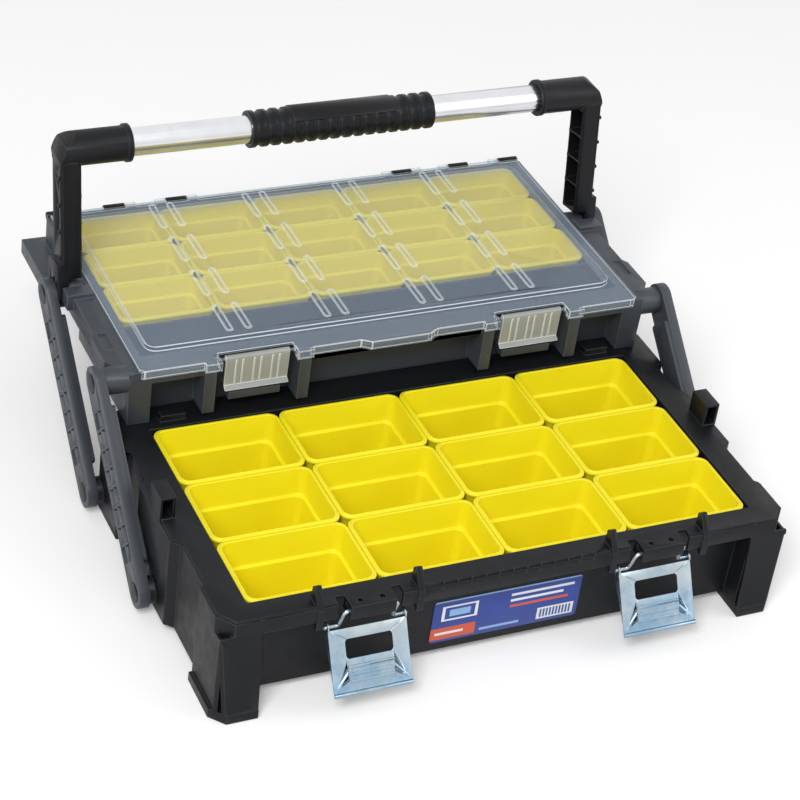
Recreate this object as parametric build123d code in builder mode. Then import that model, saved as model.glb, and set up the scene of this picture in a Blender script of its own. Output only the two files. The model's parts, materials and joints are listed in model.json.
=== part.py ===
"""Cantilever tool box: a black lower case with lift-out bins, and a grey upper case
with bins under a clear lid, joined by four parallel arms and carried by a folding handle.

The model stands open. X runs across the box, Y from front to back and Z up. The origin is
on the floor, under the middle of the open box.
"""

import os
from math import cos, radians, sin

from build123d import *

os.makedirs("parts", exist_ok=True)

# Wells that hold the bins
well_width = 384.0
lower_rows = 3
lower_columns = 4
lower_row = 65.0
upper_rows = 3
upper_columns = 5
upper_row = 47.5
well_gap = 0.6
bin_gap = 0.6

# Walls
case_wall = 2.4
rim_thickness = 3.0
floor_thickness = 2.4

# Lower case
rim_z = 82.0
lower_underside = 7.0
front_rim = 18.0
rear_rim = 29.5
side_rim = 24.0
wing_step = 3.0
skirt_height = 13.0
foot_flare = 7.0
foot_height = 7.5
foot_lip = 1.2
post_width = 30.0
post_depth = 42.0
rear_post_depth = 46.0
corner_chamfer = 10.0

# Linkage: four equal arms, front and rear, left and right
arm_length = 150.0
arm_lean = 48.0
pivot_base = 116.0
pivot_height = 17.5
well_front_offset = -100.5
arm_gap = 1.6
arm_thickness = 10.8
arm_end_thickness = 7.7
arm_width = 21.5
arm_end_radius = 12.0
arm_end_length = 19.0
arm_cell_depth = 4.5
arm_cell_wall = 1.8
arm_cells = 8
boss_radius = 10.0
face_gap = 0.3
pin_radius = 4.0
pin_clearance = 0.06
pin_head_radius = 7.0
pin_head_height = 2.5
pin_head_gap = 0.4
pin_depth = 18.0

# Upper case
stack_gap = 0.3
upper_height = 44.9
upper_setback = 10.5
upper_front_rim = 19.4
upper_side_rim = 24.0
upper_side_inset = 9.5
upper_post_width = 17.0
upper_post_depth = 18.0
upper_band = 11.0
side_flange = 15.0
buttress_width = 9.0
buttress_wall = 1.8
buttress_reach = 23.0
buttress_lift = 3.0
compartment_row = 47.5
divider_height = 36.0
divider_wall = 2.0
rear_side_inset = 13.6
ledge_width = 16.8
ledge_drop = 21.7
ledge_reach = 10.0
ledge_thickness = 12.0
hook_height = 3.8
hook_length = 12.0

# Lid
lid_gap = 0.3
lid_flange = 2.0
lid_half = 200.0
lid_overhang = 21.6
panel_rise = 3.6
panel_front_border = 22.0
panel_rear_border = 13.0
panel_side_border = 12.0
panel_radius = 9.0
lid_skirt = 7.4
lid_skirt_wall = 1.6
skirt_gap = 0.4
loop_length = 34.0
loop_width = 5.5
loop_rise = 1.2
loop_wall = 1.1
loop_pair = 14.5
grip_half = 31.0
grip_reach = 4.5
hinge_radius = 1.6
hinge_clearance = 0.06
knuckle_radius = 3.3
knuckle_width = 16.5
lid_knuckle_width = 8.0
knuckle_gap = 1.0
hinge_offset = 6.0
hinge_drop = 1.0
hinge_tab_places = (97.0, 148.0, 193.5)
hinge_rod_half = 201.5

# Lid clips
clip_width = 49.0
clip_length = 25.0
clip_wall = 2.0
clip_lip = 2.6
clip_barrel = 2.4
clip_pin = 1.0
clip_clearance = 0.08
clip_support = 2.0
clip_rib = 1.0
clip_setback = 4.0
notch_half = 29.0
notch_depth = 9.0

# Latches
latch_x = 110.5
guide_offset = 36.5
guide_width = 5.0
guide_height = 12.0
lug_half = 16.5
lug_reach = 5.5
leg_slot = 7.0
lug_socket = 3.4
lug_socket_x = 8.0
wire_radius = 1.5
wire_clearance = 0.08
bail_leg = 19.5
bail_length = 17.3
bail_tilt = 20.0
bail_drop = 7.0
plate_width = 57.5
plate_length = 47.0
plate_top = 2.2
plate_thickness = 1.0
plate_tilt = 30.0
plate_hole_width = 34.4
plate_hole_height = 13.6
plate_hole_start = 9.8
plate_curl = 1.5
plate_gap = 0.4
plate_ribs = (29.0, 34.0, 39.0)
plate_rib_length = 34.0
ear_radius = 4.2
catch_width = 40.0
catch_height = 6.4
catch_lift = 9.0

# Handle
handle_length = 112.0
handle_lean = 9.0
tube_radius = 10.5
tube_wall = 1.6
tube_half = 202.0
sleeve_radius = 13.0
collar_radius = 14.2
collar_width = 4.0
sleeve_start = 166.0
upright_width = 16.0
upright_depth = 22.0
upright_wall = 2.4
upright_start = 14.0
upright_ribs = 4
upright_rib = 1.8
tongue_thickness = 8.5
tongue_radius = 11.5
tongue_top = 26.0
stud_radius = 1.6
stud_rise = 1.4
grip_radius = 12.6
grip_rib = 1.4
grip_half_length = 74.0
grip_ribs = 16
grip_plate_half = 41.0
grip_plate_rise = 2.2
grip_plate_drop = 7.0
grip_ring_width = 4.4
slide_gap = 0.1

# Bins
bin_lip = 1.4
bin_lip_height = 3.0
bin_wall = 1.5
bin_radius = 8.0
bin_step = 3.0
bin_draft = 1.5
bin_foot_gap = 0.4
lower_bin_drop = 0.6
lower_step_depth = 24.0
upper_bin_drop = 2.4
upper_step_depth = 15.0

# Small parts of the lower rim
block_width = 11.5
block_length = 21.0
block_height = 18.0
block_wall = 2.0
block_front = -4.5
tab_width = 19.0
tab_height = 5.0
tab_depth = 7.0
tab_x = 172.5
tooth_count = 12
tooth_pitch = 10.5
tooth_size = 1.4

# Front label
label_width = 115.0
label_height = 37.0
label_thickness = 0.4
label_z = 32.5
label_x = 4.5

# Derived places across the box
well_half = well_width / 2 + well_gap
tub_half = well_half + case_wall
post_x = well_half + side_rim
wing_x = post_x + wing_step
recess_x = post_x - wing_step
arm_inner = wing_x + arm_gap
arm_outer = arm_inner + arm_thickness
arm_end_inner = arm_outer - arm_end_thickness
boss_end = arm_end_inner - face_gap

# Derived places along the box, first from the front lower pivot
swing_y = arm_length * sin(radians(arm_lean))
swing_z = arm_length * cos(radians(arm_lean))
upper_pivot_z = pivot_height + swing_z
lower_well_front = well_front_offset
lower_well_rear = lower_well_front + lower_rows * lower_row
lower_front = lower_well_front - front_rim
lower_rear = lower_well_rear + rear_rim
panel_y = lower_well_front - case_wall
upper_bottom = rim_z + stack_gap
upper_rim_z = upper_bottom + upper_height
upper_well_front = swing_y + upper_setback
upper_bins_front = upper_well_front + compartment_row
upper_well_rear = upper_bins_front + upper_rows * upper_row
upper_front = upper_well_front - upper_front_rim
upper_wall_rear = upper_well_rear + case_wall
upper_side = well_half + upper_side_rim
upper_skin = upper_side - upper_side_inset
rear_skin = upper_side - rear_side_inset
rear_pivot_y = pivot_base + swing_y
ledge_rear = upper_well_rear + ledge_reach
ledge_top = upper_rim_z - ledge_drop
lid_under = upper_rim_z + lid_gap
lid_top = lid_under + lid_flange
lid_front = upper_well_front - lid_overhang
hinge_y = upper_well_rear + hinge_offset
hinge_z = upper_rim_z - hinge_drop
clip_y = lid_front + clip_setback
clip_z = lid_top - clip_barrel
bail_y = lower_front - 1.0
bail_z = rim_z - bail_drop
ear_y = bail_y + bail_length * sin(radians(bail_tilt))
ear_z = bail_z - bail_length * cos(radians(bail_tilt))
plate_out = sin(radians(plate_tilt))
plate_down = cos(radians(plate_tilt))
tube_y = rear_pivot_y + handle_length * sin(radians(handle_lean))
tube_z = upper_pivot_z + handle_length * cos(radians(handle_lean))
upright_outer = boss_end - face_gap - 3.0
upright_inner = upright_outer - upright_width
tongue_outer = boss_end
tongue_inner = tongue_outer - tongue_thickness

# The origin lies under the middle of the open box
sheet_out = wire_radius + plate_gap
front_reach = ear_y - plate_length * plate_out - (sheet_out + plate_curl) * plate_down - plate_curl
case_y = -(front_reach + ledge_rear) / 2


def deck(z):
    """A level plane at height z whose origin is on the front lower pivots' line."""
    return Plane((0, case_y, z))


def side_plane(x):
    """An upright plane facing +X, with Y across it and Z up it."""
    return Plane(origin=(x, case_y, 0), x_dir=(0, 1, 0), z_dir=(1, 0, 0))


def front_plane(y):
    """An upright plane facing the front, with X across it and Z up it."""
    return Plane(origin=(0, case_y + y, 0), x_dir=(1, 0, 0), z_dir=(0, -1, 0))


def arm_plane(x, y, z, lean):
    """A plane facing +X at a pivot, whose own Y runs along an arm that leans back."""
    tilt = radians(lean)
    across = (0, cos(tilt), -sin(tilt))
    return Plane(origin=(x, case_y + y, z), x_dir=across, z_dir=(1, 0, 0))


def block(x0, x1, y0, y1, z0, z1, mode=Mode.ADD):
    """A box between two corners, in the part being built."""
    with Locations(((x0 + x1) / 2, case_y + (y0 + y1) / 2, (z0 + z1) / 2)):
        Box(abs(x1 - x0), abs(y1 - y0), abs(z1 - z0), mode=mode)


def pair(x0, x1, y0, y1, z0, z1, mode=Mode.ADD):
    """The same box on both sides of the middle."""
    block(x0, x1, y0, y1, z0, z1, mode)
    block(-x1, -x0, y0, y1, z0, z1, mode)


def rod(radius, x0, x1, y, z, mode=Mode.ADD):
    """A round bar along X, in the part being built."""
    with BuildSketch(side_plane(x0)) as section:
        with Locations((y, z)):
            Circle(radius)
    extrude(section.sketch, amount=x1 - x0, mode=mode)


def rod_pair(radius, x0, x1, y, z, mode=Mode.ADD):
    """The same round bar on both sides of the middle."""
    rod(radius, x0, x1, y, z, mode)
    rod(radius, -x1, -x0, y, z, mode)


def lower_outline(inset):
    """The right half of the lower rim, seen from above."""
    front = lower_front + inset
    rear = lower_rear - inset
    return [
        (0, front),
        (post_x - corner_chamfer - inset, front),
        (post_x - inset, front + corner_chamfer + 2.0),
        (post_x - inset, lower_front + post_depth),
        (recess_x - inset, lower_front + post_depth + wing_step),
        (recess_x - inset, -32.0),
        (wing_x - inset, -26.0),
        (wing_x - inset, 37.0),
        (recess_x - inset, 43.0),
        (recess_x - inset, lower_rear - rear_post_depth - wing_step),
        (wing_x - inset, lower_rear - rear_post_depth),
        (wing_x - inset, rear - corner_chamfer / 2),
        (wing_x - corner_chamfer / 2 - inset, rear),
        (0, rear),
    ]


def finish(builder, label):
    """Names a sub-part and writes its file."""
    builder.part.label = label
    export_step(builder.part, f"parts/{label}.step")


# Lower case
with BuildPart() as lower_case:
    for inset, low, high in (
        (0.0, rim_z - rim_thickness, rim_z - 1.2),
        (1.6, rim_z - 1.3, rim_z),
    ):
        with BuildSketch(deck(low)) as plate:
            with BuildLine():
                Polyline(*lower_outline(inset))
                mirror(about=Plane.YZ)
            make_face()
        extrude(amount=high - low)
    # Skirt under the rim, and the side walls and posts below it
    for bottom, half in ((rim_z - skirt_height, 0.0), (lower_underside, post_x - post_width)):
        with BuildSketch(deck(bottom)) as ring:
            with BuildLine():
                Polyline(*lower_outline(0.0))
                mirror(about=Plane.YZ)
            make_face()
            with BuildLine():
                Polyline(*lower_outline(case_wall))
                mirror(about=Plane.YZ)
            make_face(mode=Mode.SUBTRACT)
            if half:
                with Locations((0, (lower_front + lower_rear) / 2)):
                    Rectangle(2 * half, 2 * (lower_rear - lower_front), mode=Mode.SUBTRACT)
        extrude(amount=rim_z - rim_thickness - bottom)
    # Tub for the bins
    block(-tub_half, tub_half, panel_y, lower_well_rear + case_wall, lower_underside, rim_z - 0.5)
    # Cheeks that close the posts beside the front and rear panels
    for y0, y1 in ((lower_front + 0.5, panel_y + 0.5), (lower_well_rear + 1.0, lower_rear - 0.5)):
        pair(post_x - post_width, post_x - post_width + case_wall, y0, y1, lower_underside, rim_z - 1.0)
    # Feet under the four posts, each a closed block with a small lip
    for y0, y1 in (
        (lower_front - foot_flare, lower_front + post_depth),
        (lower_rear - rear_post_depth, lower_rear + 2.0),
    ):
        for side in (-1, 1):
            with BuildSketch(deck(0)) as foot:
                with Locations((side * (post_x + foot_lip - post_width / 2), (y0 + y1) / 2)):
                    Rectangle(post_width + 2 * foot_lip, y1 - y0)
            extrude(amount=foot_height)
    # The front posts flare out towards their feet
    for side in (-1, 1):
        with BuildSketch(side_plane(side * post_x - (case_wall if side > 0 else 0))) as flare:
            with BuildLine():
                Polyline(
                    (lower_front, rim_z - skirt_height),
                    (lower_front - foot_flare + 0.8, foot_height - 0.5),
                    (lower_front + corner_chamfer + 2.0, foot_height - 0.5),
                    (lower_front + corner_chamfer + 2.0, rim_z - skirt_height),
                    close=True,
                )
            make_face()
        extrude(amount=case_wall)
        with BuildSketch(side_plane(side * (post_x - post_width / 2) - post_width / 2)) as front_skin:
            with BuildLine():
                Polyline(
                    (lower_front, rim_z - skirt_height + 1.0),
                    (lower_front - foot_flare + 0.8, foot_height - 0.5),
                    (lower_front - foot_flare + 0.8 + case_wall, foot_height - 0.5),
                    (lower_front + case_wall, rim_z - skirt_height + 1.0),
                    close=True,
                )
            make_face()
        extrude(amount=post_width)
    # The well is open from above
    block(
        -well_half,
        well_half,
        lower_well_front,
        lower_well_rear,
        lower_underside + floor_thickness,
        rim_z + 5.0,
        Mode.SUBTRACT,
    )
    # Corner chamfers on the front feet
    for side in (-1, 1):
        with BuildSketch(deck(-1.0)) as corner:
            with BuildLine():
                Polyline(
                    (side * (post_x - corner_chamfer), lower_front - foot_flare - 3.0),
                    (side * (post_x + 6.0), lower_front - foot_flare - 3.0),
                    (side * (post_x + 6.0), lower_front + corner_chamfer - 2.0),
                    close=True,
                )
            make_face()
        extrude(amount=rim_z - 15.0, mode=Mode.SUBTRACT)
    # Bosses for the lower pins
    for y in (0.0, pivot_base):
        rod_pair(boss_radius, recess_x - 11.0, boss_end, y, pivot_height)
        rod_pair(
            pin_radius + pin_clearance,
            boss_end - pin_depth - 0.5,
            boss_end + 1.0,
            y,
            pivot_height,
            Mode.SUBTRACT,
        )
    # Latch zones: a lug carries the wire, with slots for the wire's legs beside it
    for side in (-1, 1):
        x = side * latch_x
        block(
            x - lug_half - leg_slot,
            x + lug_half + leg_slot,
            lower_front - 1.0,
            lower_front + 8.0,
            rim_z - skirt_height - 1.0,
            rim_z + 1.0,
            Mode.SUBTRACT,
        )
        block(
            x - lug_half,
            x + lug_half,
            lower_front - lug_reach,
            lower_front + 8.5,
            bail_z - 4.0,
            rim_z,
        )
        for place in (-lug_socket_x, lug_socket_x):
            block(
                x + place - lug_socket / 2,
                x + place + lug_socket / 2,
                lower_front - 1.0,
                lower_front - 1.0 + lug_socket,
                rim_z - lug_socket,
                rim_z + 1.0,
                Mode.SUBTRACT,
            )
        rod(
            wire_radius + wire_clearance,
            x - lug_half - 1.0,
            x + lug_half + 1.0,
            bail_y,
            bail_z,
            Mode.SUBTRACT,
        )
        # Guide ribs stand up beside the latch and fit into the buttresses above
        for offset in (-guide_offset, guide_offset):
            with BuildSketch(side_plane(x + offset - guide_width / 2)) as guide:
                with BuildLine():
                    Polyline(
                        (lower_front - 1.6, rim_z - skirt_height - 6.0),
                        (lower_front - 1.6, rim_z - 2.0),
                        (lower_front + 6.0, rim_z + guide_height - 2.0),
                        (lower_front + 8.5, rim_z + guide_height),
                        (lower_front + 11.5, rim_z + guide_height - 2.0),
                        (lower_front + 12.5, rim_z - 1.0),
                        (lower_front + 1.0, rim_z - skirt_height - 6.0),
                        close=True,
                    )
                make_face()
            extrude(amount=guide_width)
    # Sockets on the side rims
    block_outer = wing_x
    block_inner = wing_x - block_width
    block_rear = block_front + block_length
    pair(block_inner, block_outer, block_front, block_rear, rim_z - 1.0, rim_z + block_height)
    pair(
        block_inner + block_wall,
        block_outer - block_wall,
        block_front - 1.0,
        block_rear - block_wall,
        rim_z + 0.5,
        rim_z + block_height - block_wall,
        Mode.SUBTRACT,
    )
    # Low stops on the rear rim
    tab_front = lower_well_rear + 6.5
    pair(
        tab_x - tab_width / 2,
        tab_x + tab_width / 2,
        tab_front,
        tab_front + tab_depth,
        rim_z - 1.0,
        rim_z + tab_height,
    )
    # Small teeth along the middle of the front rim
    for number in range(tooth_count):
        x = (number - (tooth_count - 1) / 2) * tooth_pitch
        block(
            x - tooth_size / 2,
            x + tooth_size / 2,
            lower_front - 0.8,
            lower_front + 3.0,
            rim_z - 4.0,
            rim_z + 0.8,
        )
finish(lower_case, "lower_case")


def bin_part(x, y, width, depth, top, bottom, step_depth):
    """A tapered bin with a rolled lip and a ledge part of the way down."""
    lip_bottom = top - bin_lip_height
    ledge = top - step_depth
    stages = (
        (lip_bottom, 0.0, ledge, bin_draft / 2),
        (ledge, bin_step, bottom, bin_step + bin_draft),
    )
    with BuildPart() as body:
        with BuildSketch(Plane((x, case_y + y, lip_bottom))):
            RectangleRounded(width, depth, bin_radius)
        extrude(amount=bin_lip_height)
        for high, inset_high, low, inset_low in stages:
            with BuildSketch(Plane((x, case_y + y, low))) as foot:
                shrink = 2 * (bin_lip + inset_low)
                RectangleRounded(width - shrink, depth - shrink, bin_radius - bin_lip)
            with BuildSketch(Plane((x, case_y + y, high))) as head:
                shrink = 2 * (bin_lip + inset_high)
                RectangleRounded(width - shrink, depth - shrink, bin_radius - bin_lip)
            loft([foot.sketch, head.sketch], ruled=True)
        hollow = (
            (top + 0.01, 0.0, ledge + bin_wall, bin_draft / 2),
            (ledge + bin_wall + 0.01, bin_step, bottom + bin_wall, bin_step + bin_draft),
        )
        for high, inset_high, low, inset_low in hollow:
            with BuildSketch(Plane((x, case_y + y, low))) as foot:
                shrink = 2 * (bin_lip + bin_wall + inset_low)
                RectangleRounded(width - shrink, depth - shrink, bin_radius - bin_lip - bin_wall)
            with BuildSketch(Plane((x, case_y + y, high))) as head:
                shrink = 2 * (bin_lip + bin_wall + inset_high)
                RectangleRounded(width - shrink, depth - shrink, bin_radius - bin_lip - bin_wall)
            loft([foot.sketch, head.sketch], ruled=True, mode=Mode.SUBTRACT)
    return body


# Lower bins, counted from the front left
lower_pitch = well_width / lower_columns
for row in range(lower_rows):
    for column in range(lower_columns):
        lower_bin = bin_part(
            (column - (lower_columns - 1) / 2) * lower_pitch,
            lower_well_front + (row + 0.5) * lower_row,
            lower_pitch - bin_gap,
            lower_row - bin_gap,
            rim_z - lower_bin_drop,
            lower_underside + floor_thickness + bin_foot_gap,
            lower_step_depth,
        )
        finish(lower_bin, f"lower_bin_{row * lower_columns + column + 1:02d}")

# Upper bins, counted from the front left
upper_pitch = well_width / upper_columns
for row in range(upper_rows):
    for column in range(upper_columns):
        upper_bin = bin_part(
            (column - (upper_columns - 1) / 2) * upper_pitch,
            upper_bins_front + (row + 0.5) * upper_row,
            upper_pitch - bin_gap,
            upper_row - bin_gap,
            upper_rim_z - upper_bin_drop,
            upper_bottom + floor_thickness + bin_foot_gap,
            upper_step_depth,
        )
        finish(upper_bin, f"upper_bin_{row * upper_columns + column + 1:02d}")


def upper_outline(inset):
    """The right half of the upper case's rim, seen from above."""
    pocket_y = swing_y + 45.0
    return [
        (0, upper_front + inset),
        (upper_skin - 3.0 - inset, upper_front + inset),
        (upper_side - 3.5 - inset, upper_front + 11.5 + inset),
        (wing_x - inset, upper_front + 19.5 + inset),
        (wing_x - inset, pocket_y - 4.5),
        (upper_side - inset, pocket_y),
        (upper_side - inset, rear_pivot_y - 14.0),
        (rear_skin - inset, rear_pivot_y - 14.0),
        (rear_skin - inset, upper_wall_rear - inset),
        (0, upper_wall_rear - inset),
    ]


# Upper case
with BuildPart() as upper_case:
    with BuildSketch(deck(upper_rim_z - rim_thickness)) as upper_plate:
        with BuildLine():
            Polyline(*upper_outline(0.0))
            mirror(about=Plane.YZ)
        make_face()
    extrude(amount=rim_thickness)
    # Tub with its floor
    block(
        -tub_half,
        tub_half,
        upper_well_front - case_wall,
        upper_wall_rear,
        upper_bottom,
        upper_rim_z - 0.5,
    )
    # Front band under the rim
    block(
        -upper_skin,
        upper_skin,
        upper_front,
        upper_front + case_wall,
        upper_rim_z - upper_band,
        upper_rim_z - 0.5,
    )
    # Side walls and the front corner posts
    pair(
        upper_skin - case_wall,
        upper_skin,
        upper_front,
        rear_pivot_y - 13.0,
        upper_bottom,
        upper_rim_z - 0.5,
    )
    pair(
        upper_skin - upper_post_width,
        upper_skin,
        upper_front,
        upper_front + upper_post_depth,
        upper_bottom,
        upper_rim_z - 0.5,
    )
    pair(
        rear_skin - case_wall,
        rear_skin,
        rear_pivot_y - 15.0,
        upper_wall_rear,
        upper_bottom,
        upper_rim_z - 0.5,
    )
    pair(
        rear_skin - 1.0,
        upper_skin,
        rear_pivot_y - 15.5,
        rear_pivot_y - 13.0,
        upper_bottom,
        upper_rim_z - 0.5,
    )
    # Deep flange under the side rims
    with BuildSketch(deck(upper_rim_z - side_flange)) as upper_flange:
        with BuildLine():
            Polyline(*upper_outline(0.0))
            mirror(about=Plane.YZ)
        make_face()
        with BuildLine():
            Polyline(*upper_outline(case_wall))
            mirror(about=Plane.YZ)
        make_face(mode=Mode.SUBTRACT)
        with Locations((0, upper_front)):
            Rectangle(2 * upper_skin, 6 * upper_skin, mode=Mode.SUBTRACT)
    extrude(amount=side_flange - 0.5)
    # Bottom strips that tie the side walls to the tub
    for y0, y1, x1 in (
        (upper_front + upper_post_depth, rear_pivot_y - 13.0, upper_skin),
        (rear_pivot_y - 15.0, upper_wall_rear, rear_skin),
    ):
        pair(tub_half - 1.0, x1, y0, y1, upper_bottom, upper_bottom + floor_thickness)
    # Rear ledges, where the folded handle comes to rest
    pair(
        rear_skin - 1.0,
        rear_skin + ledge_width,
        rear_pivot_y + 22.0,
        ledge_rear,
        ledge_top - ledge_thickness,
        ledge_top,
    )
    pair(
        rear_skin - case_wall,
        rear_skin + 2.0,
        upper_wall_rear - 2.0,
        ledge_rear,
        ledge_top - ledge_thickness,
        ledge_top,
    )
    # Hooks in front of the handle's feet
    pair(
        rear_skin - 1.5,
        upper_side + 5.0,
        rear_pivot_y - 14.0 - hook_length,
        rear_pivot_y - 14.0,
        upper_rim_z - 9.0,
        upper_rim_z + hook_height,
    )
    # Wells: the bins' and the long front compartment
    block(
        -well_half,
        well_half,
        upper_well_front,
        upper_well_rear,
        upper_bottom + floor_thickness,
        upper_rim_z + 5.0,
        Mode.SUBTRACT,
    )
    block(
        -well_half - 0.5,
        well_half + 0.5,
        upper_bins_front - divider_wall - 0.6,
        upper_bins_front - 0.6,
        upper_bottom + floor_thickness - 0.5,
        upper_bottom + floor_thickness + divider_height,
    )
    # Shallow pockets in the side rims
    pair(
        upper_skin + 0.8,
        upper_skin + 7.0,
        swing_y + 24.5,
        swing_y + 45.0,
        upper_rim_z - 1.6,
        upper_rim_z + 1.0,
        Mode.SUBTRACT,
    )
    # Bosses for the upper pins
    rod_pair(boss_radius, upper_skin - 1.0, boss_end, swing_y, upper_pivot_z)
    rod_pair(boss_radius, rear_skin - 1.0, tongue_inner - face_gap, rear_pivot_y, upper_pivot_z)
    for y in (swing_y, rear_pivot_y):
        rod_pair(
            pin_radius + pin_clearance,
            boss_end - pin_depth - 0.5,
            boss_end + 1.0,
            y,
            upper_pivot_z,
            Mode.SUBTRACT,
        )
    # Clip zones in the front rim, with a nose for each clip and a bar for each latch
    for side in (-1, 1):
        x = side * latch_x
        block(
            x - notch_half - clip_support - 0.4,
            x + notch_half + clip_support + 0.4,
            upper_front - 1.0,
            lid_front + notch_depth + 3.0,
            upper_bottom + buttress_lift,
            upper_rim_z + 1.0,
            Mode.SUBTRACT,
        )
        block(
            x - clip_width / 2 + 4.0,
            x + clip_width / 2 - 4.0,
            clip_y + clip_barrel + 1.2,
            upper_well_front - 1.0,
            clip_z - clip_length + 9.0,
            clip_z - clip_length + 12.0,
        )
        block(
            x - catch_width / 2,
            x + catch_width / 2,
            upper_front + 0.5,
            upper_well_front - 1.0,
            upper_bottom + catch_lift,
            upper_bottom + catch_lift + catch_height,
        )
        # Hollow buttresses either side, open below for the guide ribs
        for offset in (-guide_offset, guide_offset):
            middle = x + offset
            low = upper_bottom + buttress_lift
            high = lid_top - lid_flange - lid_skirt + 1.5
            front = upper_well_front - buttress_reach
            block(
                middle - buttress_width / 2,
                middle + buttress_width / 2,
                front,
                upper_well_front - 1.0,
                low,
                high,
            )
            block(
                middle - buttress_width / 2 + buttress_wall,
                middle + buttress_width / 2 - buttress_wall,
                front + buttress_wall,
                upper_well_front - case_wall,
                low - 1.0,
                high - 4.0,
                Mode.SUBTRACT,
            )
finish(upper_case, "upper_case")

# Black tabs along the back of the upper case that hold the lid's rod
with BuildPart() as lid_hinge_tabs:
    for x in [side * place for side in (-1, 1) for place in hinge_tab_places]:
        block(
            x - knuckle_width / 2,
            x + knuckle_width / 2,
            upper_wall_rear,
            hinge_y,
            hinge_z - knuckle_radius - 5.0,
            hinge_z,
        )
        rod(knuckle_radius, x - knuckle_width / 2, x + knuckle_width / 2, hinge_y, hinge_z)
        rod(
            hinge_radius + hinge_clearance,
            x - knuckle_width,
            x + knuckle_width,
            hinge_y,
            hinge_z,
            Mode.SUBTRACT,
        )
finish(lid_hinge_tabs, "lid_hinge_tabs")

with BuildPart() as lid_hinge_rod:
    rod(hinge_radius, -hinge_rod_half, hinge_rod_half, hinge_y, hinge_z)
finish(lid_hinge_rod, "lid_hinge_rod")


def lid_outline(inset):
    """The right half of the lid's edge, with the clip notch and the middle grip."""
    front = lid_front + inset
    cap = upper_well_front - buttress_reach - lid_skirt_wall - skirt_gap + inset
    outer = latch_x + guide_offset + buttress_width / 2 + 0.6 - inset
    inner = latch_x - guide_offset - buttress_width / 2 - 0.6 + inset
    notch = lid_front + notch_depth + inset
    return [
        (0, front - grip_reach),
        (grip_half - 7.0 - inset, front - grip_reach),
        (grip_half - inset, front),
        (inner, front),
        (inner, cap),
        (latch_x - notch_half - inset, cap),
        (latch_x - notch_half - inset, notch),
        (latch_x + notch_half + inset, notch),
        (latch_x + notch_half + inset, cap),
        (outer, cap),
        (outer, front),
        (lid_half - 3.0 - inset, front),
        (lid_half - inset, front + 3.0),
        (lid_half - inset, upper_wall_rear - 0.6 - inset),
        (0, upper_wall_rear - 0.6 - inset),
    ]


# Clear lid
panel_y0 = lid_front + panel_front_border
panel_y1 = upper_wall_rear - panel_rear_border
panel_half = lid_half - panel_side_border
row_starts = [
    upper_well_front + number * upper_row + (upper_row - loop_length) / 2
    for number in range(upper_rows + 1)
]
with BuildPart() as lid:
    with BuildSketch(deck(lid_under)) as flange:
        with BuildLine():
            Polyline(*lid_outline(0.0))
            mirror(about=Plane.YZ)
        make_face()
    extrude(amount=lid_flange)
    # Front skirt, which follows the edge and stands clear of the case
    with BuildSketch(deck(lid_under - lid_skirt + lid_flange)) as skirt:
        with BuildLine():
            Polyline(*lid_outline(0.0))
            mirror(about=Plane.YZ)
        make_face()
        with BuildLine():
            Polyline(*lid_outline(lid_skirt_wall))
            mirror(about=Plane.YZ)
        make_face(mode=Mode.SUBTRACT)
        with Locations((0, upper_front - skirt_gap + lid_half)):
            Rectangle(3 * lid_half, 2 * lid_half, mode=Mode.SUBTRACT)
    extrude(amount=lid_skirt - lid_flange + 0.5)
    # Raised panel
    with BuildSketch(deck(lid_under)) as panel:
        with Locations((0, (panel_y0 + panel_y1) / 2)):
            RectangleRounded(2 * panel_half, panel_y1 - panel_y0, panel_radius)
    extrude(amount=lid_flange + panel_rise)
    with BuildSketch(deck(lid_under - 1.0)) as hollow:
        with Locations((0, (panel_y0 + panel_y1) / 2)):
            RectangleRounded(
                2 * (panel_half - lid_flange),
                panel_y1 - panel_y0 - 2 * lid_flange,
                panel_radius - lid_flange,
            )
    extrude(amount=panel_rise + 1.0, mode=Mode.SUBTRACT)
    # Pairs of long raised loops over the lines between the columns
    loop_places = [
        ((column - upper_columns / 2) * upper_pitch + side * loop_pair / 2, start + loop_length / 2)
        for column in range(1, upper_columns)
        for start in row_starts
        for side in (-1, 1)
    ]
    with BuildSketch(deck(lid_top + panel_rise - 0.2)) as loops:
        with Locations(*loop_places):
            SlotOverall(loop_length, loop_width, rotation=90)
            SlotOverall(
                loop_length - 2 * loop_wall,
                loop_width - 2 * loop_wall,
                rotation=90,
                mode=Mode.SUBTRACT,
            )
    extrude(amount=loop_rise + 0.2)
    # Knuckles that turn on the rod, beside the black tabs
    knuckle_step = (knuckle_width + lid_knuckle_width) / 2 + knuckle_gap
    knuckle_places = [place - knuckle_step for place in hinge_tab_places]
    knuckle_places.append(hinge_tab_places[0] + knuckle_step)
    for middle in [side * place for side in (-1, 1) for place in knuckle_places]:
        near = middle - lid_knuckle_width / 2
        far = middle + lid_knuckle_width / 2
        rod(knuckle_radius, near, far, hinge_y, hinge_z)
        block(near, far, upper_wall_rear - 2.0, hinge_y, lid_under, hinge_z + knuckle_radius)
        rod(
            hinge_radius + hinge_clearance,
            near - 1.0,
            far + 1.0,
            hinge_y,
            hinge_z,
            Mode.SUBTRACT,
        )
    # Stub pins for the clips
    for side in (-1, 1):
        x = side * latch_x
        for end in (-1, 1):
            near = x + end * (clip_width / 2 - 3.0)
            far = x + end * (notch_half + 1.0)
            rod(clip_pin, min(near, far), max(near, far), clip_y, clip_z)
            edge = x + end * notch_half
            block(
                min(edge, edge + end * clip_support),
                max(edge, edge + end * clip_support),
                clip_y - 2.5,
                clip_y + 2.5,
                clip_z - 3.5,
                lid_top,
            )
finish(lid, "lid")


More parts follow.
